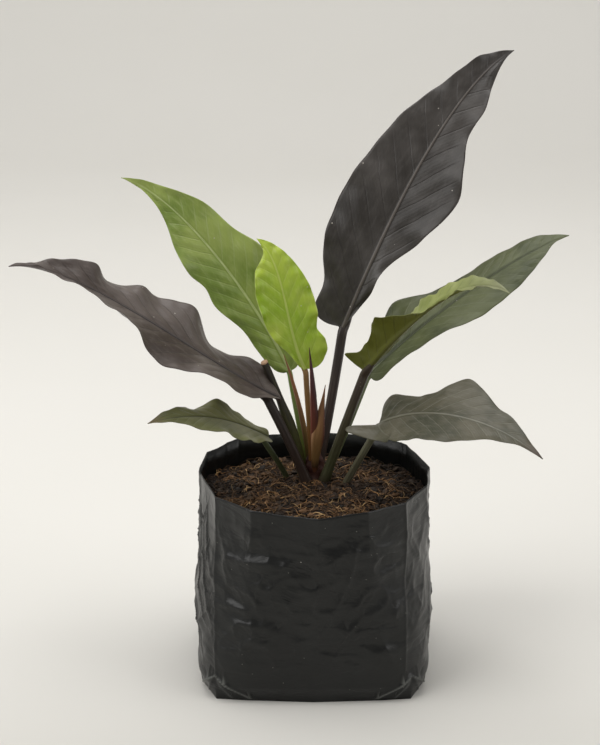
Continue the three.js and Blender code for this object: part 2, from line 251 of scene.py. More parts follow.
def paint(red, green, blue):
    """Linear colour from red, green and blue on the usual 0 to 255 scale."""
    parts = np.array([red, green, blue]) / 255
    line = np.where(parts <= 0.04045, parts / 12.92, ((parts + 0.055) / 1.055)**2.4)
    return (*line.tolist(), 1.0)


class Finish:
    """A material that is written as expressions."""

    def __init__(self, name):
        self.material = bpy.data.materials.new(name)
        self.material.use_nodes = True
        self.tree = self.material.node_tree
        self.tree.nodes.clear()

    def node(self, kind, settings=None, inputs=None, out=0):
        """Adds a node: its settings first, then the values or links of its sockets."""
        made = self.tree.nodes.new(kind)
        for key, value in (settings or {}).items():
            setattr(made, key, value)
        for key, value in (inputs or {}).items():
            if isinstance(value, Value):
                self.tree.links.new(value.socket, made.inputs[key])
            else:
                made.inputs[key].default_value = value
        return Value(self, made.outputs[out]) if made.outputs else None

    def places(self):
        """Object coordinates, in metres."""
        return self.node("ShaderNodeTexCoord", out="Object")

    def attribute(self, name):
        """The three numbers of a point attribute."""
        vector = self.node("ShaderNodeAttribute", {"attribute_name": name}, out="Vector")
        split = self.node("ShaderNodeSeparateXYZ", inputs={0: vector}).socket.node
        return [Value(self, split.outputs[k]) for k in range(3)]

    def tint(self, name):
        """The colour that a point attribute holds."""
        return self.node("ShaderNodeAttribute", {"attribute_name": name}, out="Color")

    def join(self, x, y, z):
        """A vector from three numbers."""
        return self.node("ShaderNodeCombineXYZ", inputs={0: x, 1: y, 2: z})

    def noise(self, scale, detail, rough=0.5, at=None, warp=0.0):
        """Noise from about 0 to 1, with scale cells to the metre."""
        inputs = {"Vector": at or self.places(), "Scale": scale, "Detail": detail,
                  "Roughness": rough, "Distortion": warp}
        return self.node("ShaderNodeTexNoise", inputs=inputs)

    def specks(self, scale, size, share):
        """1 in small dots: a share of the cells of a Voronoi pattern, each with a dot of that size."""
        inputs = {"Vector": self.places(), "Scale": scale}
        cells = self.node("ShaderNodeTexVoronoi", inputs=inputs).socket.node
        distance = Value(self, cells.outputs["Distance"])
        pick = self.node("ShaderNodeSeparateXYZ", inputs={0: Value(self, cells.outputs["Color"])})
        return distance.between(size, size * 0.6) * pick.math("LESS_THAN", share)

    def mix(self, share, first, second):
        """first where share is 0, second where it is 1. Each is a value or (red, green, blue)."""
        first, second = (c if isinstance(c, Value) else paint(*c) for c in (first, second))
        inputs = {0: share, 6: first, 7: second}
        return self.node("ShaderNodeMix", {"data_type": "RGBA"}, inputs, out=2)

    def coat(self, colour, *coats):
        """colour with coats over it, each a pair of its share and its own colour."""
        for share, over in coats:
            colour = self.mix(share, colour, over)
        return colour

    def bump(self, height, distance, strength):
        """A normal from a height map of that depth in metres."""
        return self.node("ShaderNodeBump", inputs={"Height": height, "Distance": distance,
                                                   "Strength": strength})

    def shade(self, through=0.0, glow=None, **inputs):
        """Ends the material in a Principled shader. through is the share of light let through."""
        names = {key.replace("_", " "): value for key, value in inputs.items()}
        shader = self.node("ShaderNodeBsdfPrincipled", inputs=names)
        if through:
            back = self.node("ShaderNodeBsdfTranslucent", inputs={"Color": paint(*glow)})
            shader = self.node("ShaderNodeMixShader", inputs={0: through, 1: shader, 2: back})
        self.node("ShaderNodeOutputMaterial", inputs={"Surface": shader})
        return self.material


# ---------------------------------------------------------------- leaves

LEVEL = [[0, 0], [1, 0]]
LOBE_END = 0.22
BASE_ROUND = 0.06
LIFT_POWER = 1.6
SIDE_POWER = 1.4  # of the grid's steps across a blade
BASE_POWER = 1.25  # of its steps along the rib
HALF_SKIN = 0.24  # mm from the middle of a blade to its face, at the rib
VEIN_WIDTH = 1.1
VEIN_LEAN = 1.25  # how far a side vein climbs for each millimetre that it runs outwards

# rib: Bezier handles of the midrib, in mm. face: the way the upper side looks.
# left, right: half widths (place along the rib, mm), seen on the upper side with the tip up.
# lift: waves of the margin towards the upper side. ripple: (mm, waves) of its fine ruffle.
# ridge: height of the midrib on the upper side, less than 0 for a groove.
# roll: degrees about the rib. fold: degrees that each half stands up from it.
# wave, swell: mm of uneven waves and of swelling between the veins. meet: place where the
# stalk joins the rib. tuck: how deep the stalk lies under it.
PLAIN_LEAF = dict(roll=LEVEL, fold=[[0, 8], [1, 8]], lift_left=LEVEL, lift_right=LEVEL, wave=1.2,
                  swell=0.45, meet=0.0, tuck=1.0)
LEAVES = {
    "upper_dark": dict(
        rib=[[20, 44, 221.5], [41, 48, 274], [88, 62, 384], [135, 92, 402]],
        face=[-0.25, -1, 0.35], lobe=(10, 0),
        left=[[0, 12], [0.05, 22], [0.12, 24], [0.22, 34], [0.35, 39], [0.5, 34], [0.6, 29], [0.7, 21],
              [0.8, 14], [0.9, 9], [1, 0]],
        right=[[0, 1], [0.06, 3], [0.15, 9], [0.23, 11], [0.35, 26], [0.5, 36], [0.58, 28], [0.66, 19],
               [0.75, 18], [0.85, 9], [0.95, 2], [1, 0]],
        stalk=[[2, 28, 116], [8, 29, 150], [15, 39, 185], [20, 44, 221]], thick=(3.1, 3.3),
        ripple=(1.8, 5), ridge=0.9, spacing=17, wave=2.0,
    ),
    "left_green": dict(
        rib=[[-16, 34, 193.5], [-34, 38, 234], [-88, 50, 313], [-129, 62, 321]],
        face=[0.2, -1, 0.35], lobe=(3, 5),
        left=[[0, 6], [0.1, 12], [0.25, 15], [0.38, 22], [0.45, 20], [0.52, 23], [0.62, 19], [0.72, 10],
              [0.85, 3], [1, 0]],
        right=[[0, 5], [0.1, 14], [0.25, 22], [0.45, 28], [0.55, 21], [0.65, 19], [0.8, 9], [0.92, 3],
               [1, 0]],
        stalk=[[-3, 31, 116], [-8, 30, 150], [-13, 32, 173], [-16, 34, 193]], thick=(2.3, 1.9),
        ripple=(1.3, 4), ridge=0.5, spacing=12, swell=0.9, wave=2.0,
    ),
    "centre_lime": dict(
        rib=[[-5.5, 9.5, 203], [-19, 6, 231], [-18, 4, 279], [-37, 14, 291]],
        face=[0.15, -1, 0.3], lobe=(0, 9),
        left=[[0, 2], [0.12, 5], [0.3, 15], [0.45, 18], [0.65, 17], [0.75, 13], [0.85, 4], [1, 0]],
        right=[[0, 4], [0.06, 15], [0.17, 20], [0.25, 17], [0.35, 19], [0.5, 19], [0.65, 15], [0.8, 9],
               [1, 0]],
        stalk=[[0, 24, 118], [-2, 21, 155], [-4, 15, 180], [-5, 10.2, 202]], thick=(2.1, 1.9),
        ripple=(1.3, 5), ridge=0.5, spacing=11, swell=1.0, wave=1.8,
    ),
    "left_dark": dict(
        rib=[[-21.5, 6.5, 184], [-71, 0, 210], [-156, -14, 288], [-192, -34, 286]],
        face=[0.25, -0.35, 1], lobe=(0, 0),
        left=[[0, 4], [0.08, 14], [0.16, 24], [0.22, 26], [0.28, 24], [0.4, 31], [0.55, 25], [0.7, 14],
              [0.85, 4], [1, 0]],
        right=[[0, 5], [0.1, 17], [0.25, 24], [0.4, 28], [0.6, 22], [0.8, 13], [1, 0]],
        lift_left=[[0, 1], [0.15, 1], [0.25, 4], [0.4, -7], [0.52, 2], [1, 0]],
        lift_right=[[0, 0], [0.1, 1], [0.3, -7], [0.36, 6], [0.42, 3], [0.46, -3], [0.52, 2],
                    [0.62, -5], [0.67, 3], [0.8, -2], [1, 0]],
        stalk=[[-3, 18, 116], [-10, 14, 138], [-23, 11, 166], [-31.5, 9, 184.5]], thick=(3.6, 3.2),
        ripple=(0.9, 6), ridge=-0.9, spacing=13, swell=0.7, wave=1.8, meet=0.06,
    ),
    "right_rear_green": dict(
        rib=[[37, 25.5, 194.5], [71, 28, 229], [133, 40, 274], [172, 52, 284]],
        face=[-0.3, -0.6, 1], lobe=(5, 5),
        left=[[0, 9], [0.1, 14], [0.25, 24], [0.45, 20], [0.7, 16], [0.9, 9], [1, 0]],
        right=[[0, 10], [0.1, 14], [0.3, 20], [0.5, 25], [0.7, 19], [0.82, 10], [0.93, 1], [1, 0]],
        lift_left=[[0, -4], [0.1, -4], [0.26, 6], [0.4, -6], [0.6, -7], [0.8, -2], [1, 0]],
        lift_right=[[0, -2], [0.2, 4], [0.3, 4], [0.45, -1], [1, 0]],
        stalk=[[7, 29, 116], [19, 30, 142], [28, 28.5, 168], [36.8, 25.5, 194]], thick=(2.9, 2.5),
        ripple=(0.5, 5), ridge=-0.6, spacing=11,
    ),
    "right_front_olive": dict(
        rib=[[33, 4, 203.5], [50, -20, 233], [90, -55, 295], [115, -95, 285]],
        face=[-0.6, 0.2, 0.8], lobe=(0, 8),
        roll=[[0, 45], [0.25, 36], [0.4, 12], [0.5, 0], [1, -10]], fold=[[0, 40], [0.5, 35], [1, 20]],
        left=[[0, 4], [0.1, 16], [0.3, 19], [0.42, 13], [0.5, 10], [0.75, 8], [1, 0]],
        right=[[0, 9], [0.035, 19], [0.09, 12], [0.18, 13], [0.27, 18], [0.34, 21], [0.41, 11],
               [0.47, 5], [0.8, 5], [1, 0]],
        stalk=[[5, 19, 116], [15, 14, 148], [25, 9, 178], [33, 4, 203]], thick=(3.4, 3.1), tuck=0.3,
        ripple=(0.8, 7), ridge=-0.6, spacing=11,
    ),
    "right_drooping": dict(
        rib=[[43, -8, 171], [59, -22, 187], [104, -45, 198], [142, -78, 173]],
        face=[0, -0.5, 1], lobe=(9, 22),
        left=[[0, 13], [0.05, 19], [0.12, 20], [0.25, 18], [0.35, 18], [0.45, 24], [0.52, 29],
              [0.6, 26], [0.7, 18], [0.8, 13], [0.9, 6], [1, 0]],
        right=[[0, 17], [0.1, 19], [0.2, 25], [0.3, 30], [0.45, 32], [0.6, 30], [0.7, 24], [0.8, 12],
               [0.9, 4], [1, 0]],
        lift_left=[[0, -3], [0.12, 2], [0.3, -2], [0.5, 2], [0.7, -2], [1, 0]],
        lift_right=[[0, 32], [0.012, 27], [0.03, 18], [0.06, 9], [0.1, 0], [0.15, -4], [0.25, -1],
                    [1, 0]],
        stalk=[[16, 18, 106], [27, 10, 135], [37, 1, 153], [42.4, -7.4, 169.8]], thick=(2.7, 2.4),
        ripple=(0.7, 4), ridge=0.5, spacing=12,
    ),
    "left_low": dict(
        rib=[[-30, 10, 155], [-52, 0, 171], [-74, -18, 185], [-107, -38, 182]],
        face=[0, -0.4, 1], lobe=(5, 3),
        left=[[0, 6], [0.1, 12], [0.28, 23], [0.55, 23], [0.7, 17], [0.82, 7], [1, 0]],
        right=[[0, 6], [0.1, 10], [0.3, 14], [0.45, 16], [0.65, 12], [0.8, 8], [1, 0]],
        lift_right=[[0, 0], [0.2, -4], [0.42, 2], [0.6, -4], [0.78, 1], [1, 0]],
        stalk=[[-13, 33, 106], [-21, 26, 128], [-29, 18, 141], [-33.4, 11, 152.2]], thick=(2.2, 1.9),
        ripple=(0.6, 4), ridge=-0.5, spacing=9, meet=0.04,
    ),
}


def leaf_directions(leaf, t):
    """Along the rib, to the side (along x face) and up (side x along), rolled about the rib."""
    along = bezier_direction(leaf["rib"], t)
    side = unit(np.cross(along, np.array(leaf["face"], float)))
    up = np.cross(side, along)
    roll = np.radians(smooth(leaf["roll"], t))[..., None]
    return along, np.cos(roll) * side + np.sin(roll) * up, np.cos(roll) * up - np.sin(roll) * side


def leaf_width(leaf, t, s):
    """Half width in mm on the side that s lies on."""
    return np.where(s < 0, smooth(leaf["left"], t), smooth(leaf["right"], t)).clip(0.25)


def leaf_sheet(leaf, t, s):
    """Middle surface of a blade at t along the rib and s across it, -1 to 1, in mm.

    s shrinks by a quarter circle towards t = 0, which rounds the base. Then: the rib point,
    plus side x (width |s| cos fold), plus up x (width |s| sin fold, the waves lift |s|^1.6 and
    the ruffle, a pair of sines times |s|^3), less along x the lobe's sweep."""
    along, side, up = leaf_directions(leaf, t)
    reach = np.abs(s) * base_round(t)
    width = leaf_width(leaf, t, s)
    lift = np.where(s < 0, smooth(leaf["lift_left"], t), smooth(leaf["lift_right"], t))
    fold = np.radians(smooth(leaf["fold"], t))
    sweep = np.where(s < 0, *leaf["lobe"]) * reach**2 * np.clip(1 - t / LOBE_END, 0, 1)**2
    height, waves = leaf["ripple"]
    turn = TURN * (waves * t + np.where(s < 0, 0.0, 0.37))
    ruffle = height * reach**3 * (np.sin(turn) + 0.5 * np.sin(2.3 * turn + 1)) * ease(0, 0.12, 1 - t)
    wave = leaf["wave"] * ease(0, 0.15, 1 - t)
    ruffle = ruffle + wave * lattice(leaf["spacing"], t, (s + 1) / 2, 9, 4) * reach
    out = np.sign(s) * reach * width * np.cos(fold)
    rise = reach * width * np.sin(fold) + lift * reach**LIFT_POWER + ruffle
    rib = bezier(leaf["rib"], t)
    return rib + out[..., None] * side + rise[..., None] * up - sweep[..., None] * along


def base_round(t):
    """Share of the width that is left at t by the rounding of the base."""
    return np.sqrt(1 - np.clip(1 - t / BASE_ROUND, 0, 1)**2)


def leaf_length(leaf):
    """Length of the midrib in mm, summed over short chords."""
    return np.linalg.norm(np.diff(bezier(leaf["rib"], np.linspace(0, 1, 80)), axis=0), axis=1).sum()


def add_leaf(name, leaf, finish):
    """A blade: the sheet offset both ways by half its thickness along its own normal.

    The tissue swells between the side veins by sin^2 of the vein phase, the midrib is a
    bell-shaped ridge or groove above, and a deeper bell-shaped keel below. The grid is finer
    near the rib and the base, because s and t are powers of an even step."""
    rows, columns = rows_of(240), rows_of(60)
    even = np.linspace(-1, 1, columns)
    across_grid = np.sign(even) * np.abs(even)**SIDE_POWER
    t, s = np.meshgrid(np.linspace(0, 1, rows)**BASE_POWER, across_grid, indexing="ij")
    sheet = leaf_sheet(leaf, t, s)
    _, _, up = leaf_directions(leaf, t)
    normal = unit(np.cross(np.gradient(sheet, axis=1), np.gradient(sheet, axis=0)))
    normal *= np.sign(np.einsum("ijk,ijk->ij", normal, up))[..., None]
    across = s * leaf_width(leaf, t, s) * base_round(t)
    out = np.abs(across)
    along_mm = t * leaf_length(leaf)
    phase = (along_mm - VEIN_LEAN * out) / leaf["spacing"] + np.where(s < 0, 0.5, 0.0)
    swell = leaf["swell"] * np.sin(np.pi * phase)**2 * out / (out + 6) * (1 - np.abs(s)**4)
    skin = HALF_SKIN * (1 - 0.5 * s**2)
    ridge = leaf["ridge"] * (1 - 0.8 * t) * np.exp(-(out / (0.5 + 0.8 * (1 - t)))**2)
    keel = (0.3 + 1.6 * (1 - t)) * np.exp(-(out / (0.6 + 1.4 * (1 - t)))**2)
    top = sheet + (swell + skin + ridge)[..., None] * normal
    bottom = sheet + (swell - skin - keel)[..., None] * normal
    rings = np.concatenate([top, bottom[:, ::-1]], axis=1)
    low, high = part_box("blade_" + name)
    plain = leaf_sheet(dict(leaf, ripple=(0, 1), wave=0), t, s).reshape(-1, 3)
    shift = np.array((low + high) / 2) / MM - (plain.min(0) + plain.max(0)) / 2
    under = np.concatenate([np.zeros_like(s), np.ones_like(s)], axis=1)
    both = [np.concatenate([grid, grid[:, ::-1]], axis=1) for grid in (s, t, across, along_mm)]
    attributes = {
        "blade": np.stack([both[0], both[1], under], -1),
        "blade_mm": np.stack([both[2], both[3], under], -1),
    }
    piece("leaf_" + name, tube((rings + shift) * MM), finish,
          ["blade_" + name], attributes)
    return shift


def leaf_finish(name, leaf, look):
    """Leaf skin: a body colour that drifts, painted sheen in long streaks of a light colour, side veins
    with fine ones between them, the midrib, a thin margin, pale specks, and another colour below.
    Veins are lines of equal phase, where the phase counts vein spacings along the rib less the lean
    times the way out."""
    f = Finish("leaf " + name)
    s, t, under = f.attribute("blade")
    x, y, _ = f.attribute("blade_mm")
    out = x.math("ABSOLUTE")
    reach = s.math("ABSOLUTE")
    half = s.math("LESS_THAN", 0.0) * 0.5
    drift = f.noise(45, 2) - 0.5
    climb = y - out * VEIN_LEAN + drift * 5
    phase = climb / leaf["spacing"] + half
    gap = phase.math("PINGPONG", 0.5) * leaf["spacing"]
    fade = reach.between(1.0, 0.55) * out.between(0.0, 3.0)
    vein = gap.between(VEIN_WIDTH, 0.1) * fade
    fine = (phase * 5.0).math("PINGPONG", 0.5).between(0.25, 0.0) * reach.between(1.0, 0.8)
    rib = (out + t * 0.9).between(1.45, 0.85) * t.between(0.99, 0.8)
    rib_edge = (out + t - 1.7).math("ABSOLUTE").between(0.7, 0.1) * t.between(0.99, 0.7)
    patch = f.noise(look["patch"], 4, 0.6)
    streaks_and_painted_sheen = f.noise(110, 3, 0.6, at=f.join(x * 0.004, y * 0.001, under))
    below = f.coat(
        look["under"],
        (vein * 0.4, look["under_vein"]), (rib * 0.6, look["under_vein"]),
        (patch.between(0.3, 0.8) * 0.35, look["deep"]),
    )
    colour = f.coat(
        look["body"],
        (patch.between(0.35, 0.65), look["deep"]),
        # painted sheen: streaks of the light colour stand in for the sheen of the lamps on the blade
        (streaks_and_painted_sheen.between(0.45, 0.8) * look["streaks_and_painted_sheen"], look["light"]),
        (fine * look["fine"], look["vein_colour"]), (vein * look["vein"], look["vein_colour"]),
        (rib_edge * look["rib_edge"], look["deep"]), (rib * look["rib"], look["rib_colour"]),
        (reach.between(0.965, 1.0) * 0.6, look["margin"]),
        (t.between(look["tip_from"], 1.0) * look["tip"], look["tip_colour"]),
        (under, below), (f.specks(240, 0.13, look["specks"]) * 0.75, (205, 198, 188)),
    )
    rough = look["rough"] + (patch - 0.5) * 0.16 + (streaks_and_painted_sheen - 0.5) * 0.1
    pores = f.noise(900, 2)
    height = pores * 0.10 - vein * 0.5 - fine * 0.08 + streaks_and_painted_sheen * 0.2 + drift * 0.8
    return f.shade(through=look["through"], glow=look["glow"], Base_Color=colour,
                   Roughness=rough, Normal=f.bump(height, 0.0006, 0.55), Specular_IOR_Level=0.42)


# Colours are red, green and blue from 0 to 255. vein, fine, rib, rib_edge, tip and the streaks
# of painted sheen: strength of each marking. light: the colour of that painted sheen. patch: cells
# of the drift to the metre. through: share of light let through.
PLAIN_LOOK = dict(patch=16, streaks_and_painted_sheen=0.2, fine=0.07, vein=0.4, rib_edge=0.5, rib=0.7, tip_from=0.86,
                  tip=0.0, tip_colour=(0, 0, 0), specks=0.04, rough=0.44, through=0.12)
DARK = dict(
    body=(82, 78, 75), deep=(44, 40, 36), light=(116, 111, 108), vein_colour=(38, 34, 31),
    rib_colour=(106, 98, 92), margin=(52, 40, 38), under=(70, 58, 56),
    under_vein=(92, 70, 64), glow=(70, 40, 30), through=0.04, vein=0.3, fine=0.03, specks=0.1,
    rough=0.41, rib_edge=0.85, streaks_and_painted_sheen=0.14,
)
GREY = dict(
    body=(88, 94, 58), deep=(52, 60, 32), light=(128, 132, 100),
    vein_colour=(116, 120, 90), rib_colour=(56, 60, 42), margin=(80, 76, 58),
    under=(98, 104, 66), under_vein=(124, 128, 90), glow=(110, 130, 50), through=0.08,
    vein=0.28, specks=0.03, rough=0.44,
)
LOOKS = {
    "upper_dark": DARK,
    "left_dark": dict(DARK, body=(98, 89, 84), deep=(66, 56, 51), light=(142, 132, 126),
                      rib_colour=(36, 28, 25), rib=0.95, patch=22, streaks_and_painted_sheen=0.25),
    "left_green": dict(
        body=(152, 166, 88), deep=(116, 136, 60), light=(186, 196, 134),
        vein_colour=(176, 188, 122), rib_colour=(192, 202, 144), margin=(176, 188, 116),
        under=(150, 160, 92), under_vein=(176, 186, 120), glow=(156, 184, 60), through=0.2,
        vein=0.26, rough=0.36, rib=0.7, rib_edge=0.4, patch=26, streaks_and_painted_sheen=0.34,
    ),
    "centre_lime": dict(
        body=(186, 206, 78), deep=(150, 182, 44), light=(214, 224, 130),
        vein_colour=(206, 220, 116), rib_colour=(206, 216, 128), margin=(218, 226, 150),
        under=(178, 194, 84), under_vein=(204, 214, 120), glow=(190, 214, 60), through=0.24,
        vein=0.24, rough=0.33, rib=0.6, rib_edge=0.3, patch=30, streaks_and_painted_sheen=0.4,
    ),
    "right_rear_green": dict(GREY, streaks_and_painted_sheen=0.3),
    "right_front_olive": dict(
        body=(168, 176, 108), deep=(120, 132, 66), light=(200, 204, 156),
        vein_colour=(128, 138, 84), rib_colour=(70, 66, 44), margin=(120, 120, 70),
        # The underside's dark olive is partly its own colour and partly painted shade, as this side faces
        # away from the lamps.
        under=(98, 100, 36), under_vein=(70, 68, 26), glow=(112, 120, 24), through=0.18,
        # tip: painted sheen, the far part of the upper side painted paler because it is seen at a grazing
        # angle
        rough=0.42, tip=0.7, tip_colour=(150, 150, 124), tip_from=0.55,
    ),
    "right_drooping": dict(GREY, body=(92, 88, 72), deep=(56, 58, 42), light=(134, 130, 117),
                           rib_colour=(134, 132, 118), vein_colour=(140, 138, 124), rib=0.6,
                           streaks_and_painted_sheen=0.34, patch=26, tip=0.6, tip_colour=(80, 58, 56)),
    "left_low": dict(GREY, body=(132, 132, 88), deep=(98, 100, 62), tip=0.5,
                     tip_colour=(124, 96, 80)),
}


# ---------------------------------------------------------------- stalks

UNDER_BLADE = 0.16  # share of a stalk that runs on under its blade


def stalk_places(angle, t):
    """The point attribute of a stalk: its turn from 0 to 1, and the place along it."""
    return {"stalk": np.stack([angle / TURN, t, np.zeros_like(t)], -1)}


def stalk_rings(centres, wide, deep, section, columns):
    """Rings round a path, side x (wide cos a) + front x (deep sin a), times section(a, t), and
    their attribute."""
    along = unit(np.gradient(centres, axis=0))
    side = unit(np.cross(along, VIEWER))
    front = np.cross(side, along)
    angle = round_turn(columns)
    t, angle = np.meshgrid(np.linspace(0, 1, len(centres)), angle, indexing="ij")
    swell = section(angle, t)
    rings = (centres[:, None] + (wide[:, None] * np.cos(angle) * swell)[..., None] * side[:, None]
             + (deep[:, None] * np.sin(angle) * swell)[..., None] * front[:, None])
    return rings, stalk_places(angle, t)


def add_stalk(name, leaf, shift, finish):
    """A petiole: a tapering tube with a shallow channel along its upper face, wider where it
    sheathes the stem, that runs on for a short way under the blade as its midrib."""
    rows, columns = rows_of(120), rows_of(28)
    t = np.linspace(0, 1, rows)
    joint = 1 - UNDER_BLADE
    path = bezier(leaf["stalk"], np.clip(t / joint, 0, 1))
    base, end = leaf["thick"]
    wide = base + (end - base) * ease(0, 0.35, t) + 1.0 * (1 - ease(0, 0.16, t))
    wide *= 1 - 0.75 * ease(joint, 1, t)
    place = leaf["meet"] + np.clip((t - joint) / UNDER_BLADE, 0, 1) * 0.14
    _, _, up = leaf_directions(leaf, place)
    under = bezier(leaf["rib"], place) - up * (wide[:, None] * 0.9 + 0.35) * leaf["tuck"]
    centres = soften(np.where(t[:, None] < joint, path, under), 8)
    rings, places = stalk_rings(centres + shift, wide, wide * 0.9, channelled, columns)
    piece("petiole_" + name, tube(rings * MM), finish, ["petiole_" + name], places)


def channelled(angle, t):
    """Section of a petiole: a narrow hollow along its front, bell-shaped across."""
    return 1 - 0.16 * np.exp(-((angle - np.pi / 2) / 0.32)**2) * ease(0.05, 0.3, t)


def soften(points, passes):
    """Points averaged with their neighbours, 1:2:1, a few times. The ends stay."""
    for _ in range(passes):
        points = np.concatenate([
            points[:1], (points[:-2] + 2 * points[1:-1] + points[2:]) / 4, points[-1:],
        ])
    return points


def stalk_finish(name, low, high, streak, tip=None, left=None, right=None, rough=0.4):
    """Stalk skin: one colour at the foot and one at the top, long streaks and small dots.
    left is a painted highlight along its lit left edge, right the colour of its right edge, and
    tip that of its cut end."""
    f = Finish("stalk " + name)
    turn, t, _ = f.attribute("stalk")
    strands = f.noise(60, 3, 0.6, at=f.join(turn * 0.6, t * 0.05, 0.0))
    cloud = f.noise(70, 3, 0.6)
    colour = f.coat(low, ((t + (cloud - 0.5) * 0.3).between(0.05, 0.75), high),
                    (strands.between(0.5, 0.7) * 0.55, streak))
    # painted highlight: the left edge, which faces the left lamp, is painted paler
    if left:
        edge = (turn - 0.45).math("ABSOLUTE").between(0.11, 0.03)
        colour = f.mix(edge * t.between(0.1, 0.4) * 0.8, colour, left)
    if right:
        edge = (turn - 0.5).math("ABSOLUTE").between(0.30, 0.46)
        colour = f.mix(edge * t.between(0.15, 0.4) * 0.85, colour, right)
    colour = f.mix(t.between(0.14, 0.0) * 0.7, colour, (44, 24, 18))
    if tip:
        colour = f.mix(t.between(0.982, 0.99), colour, tip)
    colour = f.mix(f.specks(420, 0.16, 0.12) * 0.35, colour, (190, 176, 150))
    height = strands * 0.5 + f.noise(500, 2) * 0.2
    return f.shade(Base_Color=colour, Roughness=rough + (cloud - 0.5) * 0.16,
                   Normal=f.bump(height, 0.0005, 0.5), Specular_IOR_Level=0.45)


STALKS = {
    "upper_dark": ((58, 44, 38), (50, 42, 40), (92, 82, 74)),
    "left_green": ((104, 112, 56), (112, 134, 62), (140, 150, 84)),
    "centre_lime": ((150, 104, 58), (140, 108, 66), (170, 132, 84)),
    "left_dark": ((58, 46, 40), (46, 38, 36), (84, 74, 66)),
    "right_rear_green": ((86, 92, 60), (96, 106, 72), (134, 144, 112)),
    "right_front_olive": ((66, 68, 44), (58, 48, 40), (94, 92, 68)),
    "right_drooping": ((84, 80, 62), (98, 98, 78), (122, 120, 100)),
    "left_low": ((82, 84, 56), (80, 90, 62), (110, 116, 86)),
}


# ---------------------------------------------------------------- crown

STEM_RADIUS = [[0, 6.5], [0.13, 8], [0.35, 8.2], [0.56, 7.6], [0.76, 6.2], [0.93, 4], [1, 2]]  # mm

def rolled(angle, t):
    """Section of a rolled leaf: the radius grows round the turn, so its free edge stands out."""
    return 0.92 + 0.16 * np.mod(angle + 1.2 - 1.5 * t, TURN) / TURN


def hollow_front(depth):
    """Section of a sheath: one face is pressed in by depth of the radius, between two edges."""
    def section(angle, t):
        """The radius as a share, with nine faint ribs round it."""
        return 1 - depth * np.exp(-((angle - 1.5 * np.pi) / 0.8)**2) + 0.03 * np.sin(9 * angle)
    return section


def stub_section(angle, t):
    """An old stalk: two low keels along its sides and a shallow hollow at its cut end."""
    return 1 + 0.10 * np.cos(2 * angle) * (1 - t) + 0.02 * np.sin(11 * angle)


# Each piece's path in mm, its half width along it, its depth as a share of that, its section
# across and its skin. A skin's left colour is a painted highlight on the lit left edge.
CROWN = {
    "leaf_spear": dict(
        path=[[1, 21, 121], [2, 13, 160], [0, 7, 190], [-3, 1, 221]],
        radius=[[0, 2.2], [0.3, 2.9], [0.6, 2.2], [0.9, 0.7], [1, 0.15]],
        flat=0.85, section=rolled, slot="spear",
        skin=dict(name="spear", low=(110, 70, 44), high=(64, 26, 34), streak=(120, 60, 52),
                  left=(136, 74, 60), right=(48, 18, 26), rough=0.34),
    ),
    "front_sheath": dict(
        path=[[1, 16.5, 131], [2, 11, 150], [5, 12, 172], [8, 13, 191]],
        radius=[[0, 1.9], [0.2, 3.2], [0.42, 4.3], [0.54, 3.6], [0.7, 2.2], [0.88, 0.8], [1, 0.2]],
        flat=0.5, section=hollow_front(0.3), slot="sheath",
        skin=dict(name="sheath", low=(112, 84, 44), high=(124, 86, 52), streak=(146, 110, 66),
                  left=(176, 134, 98), right=(84, 36, 34), rough=0.55),
    ),
    "side_cataphyll": dict(
        path=[[-1, 27, 123], [-6, 23, 160], [-11, 24, 182], [-20, 27, 208]],
        radius=[[0, 2.2], [0.5, 1.6], [0.9, 0.6], [1, 0.15]],
        flat=0.5, section=hollow_front(0.2), slot="sheath",
        skin=dict(name="pink sheath", low=(118, 102, 54), high=(138, 92, 60),
                  streak=(152, 114, 76), left=(168, 122, 108), rough=0.5),
    ),
    "cut_petiole_stub": dict(
        path=[[-6, 26, 118], [-12, 20, 150], [-22, 18, 180], [-33, 14, 207]],
        radius=[[0, 3.2], [0.25, 3.7], [0.5, 3.8], [0.62, 2.8], [1, 2.4]],
        flat=1.0, section=stub_section, slot="cut_stalk",
        skin=dict(name="stub", low=(92, 96, 48), high=(44, 38, 34), streak=(108, 108, 62),
                  tip=(186, 150, 120), rough=0.5),
    ),
    "red_bract": dict(
        path=[[7, 22, 116], [10, 21, 122], [12, 21, 128], [13, 22, 134]],
        radius=[[0, 2.2], [0.6, 1.6], [1, 0.2]],
        flat=0.5, section=hollow_front(0.3), slot="sheath",
        skin=dict(name="bract", low=(84, 40, 30), high=(104, 50, 38), streak=(130, 76, 58),
                  rough=0.6),
    ),
}


def add_crown():
    """The spear, the sheaths, the cut stub and the bract, as tapering tubes round the stem."""
    rows, columns = rows_of(110), rows_of(32)
    t = np.linspace(0, 1, rows)
    for name, part in CROWN.items():
        wide = smooth(part["radius"], t)
        centres = bezier(part["path"], t)
        rings, places = stalk_rings(centres, wide, wide * part["flat"], part["section"], columns)
        finish = stalk_finish(**part["skin"])
        piece(name, tube(rings * MM), finish, [name], places)


def add_stem():
    """The short stem: a turned profile with leaf-scar rings, a sine of the height, and ribs."""
    low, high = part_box("stem_base")
    centre = (low + high) / 2
    heights = np.linspace(0, 1, rows_of(60))
    t, angle = np.meshgrid(heights, round_turn(rows_of(72)), indexing="ij")
    radius = smooth(STEM_RADIUS, t) + 0.35 * np.sin(34 * t + 2 * angle)
    radius = radius + 0.25 * lattice(5, angle / TURN, t, 14, 8)
    x, y = polar(radius * MM, angle)
    rings = np.stack([centre.x + x, centre.y + y, low.z + (high.z - low.z) * t], -1)
    finish = stalk_finish("stem", (44, 30, 24), (66, 34, 26), (96, 56, 40), rough=0.6)
    piece("stem", tube(rings), finish, ["stem_base"], stalk_places(angle, t))


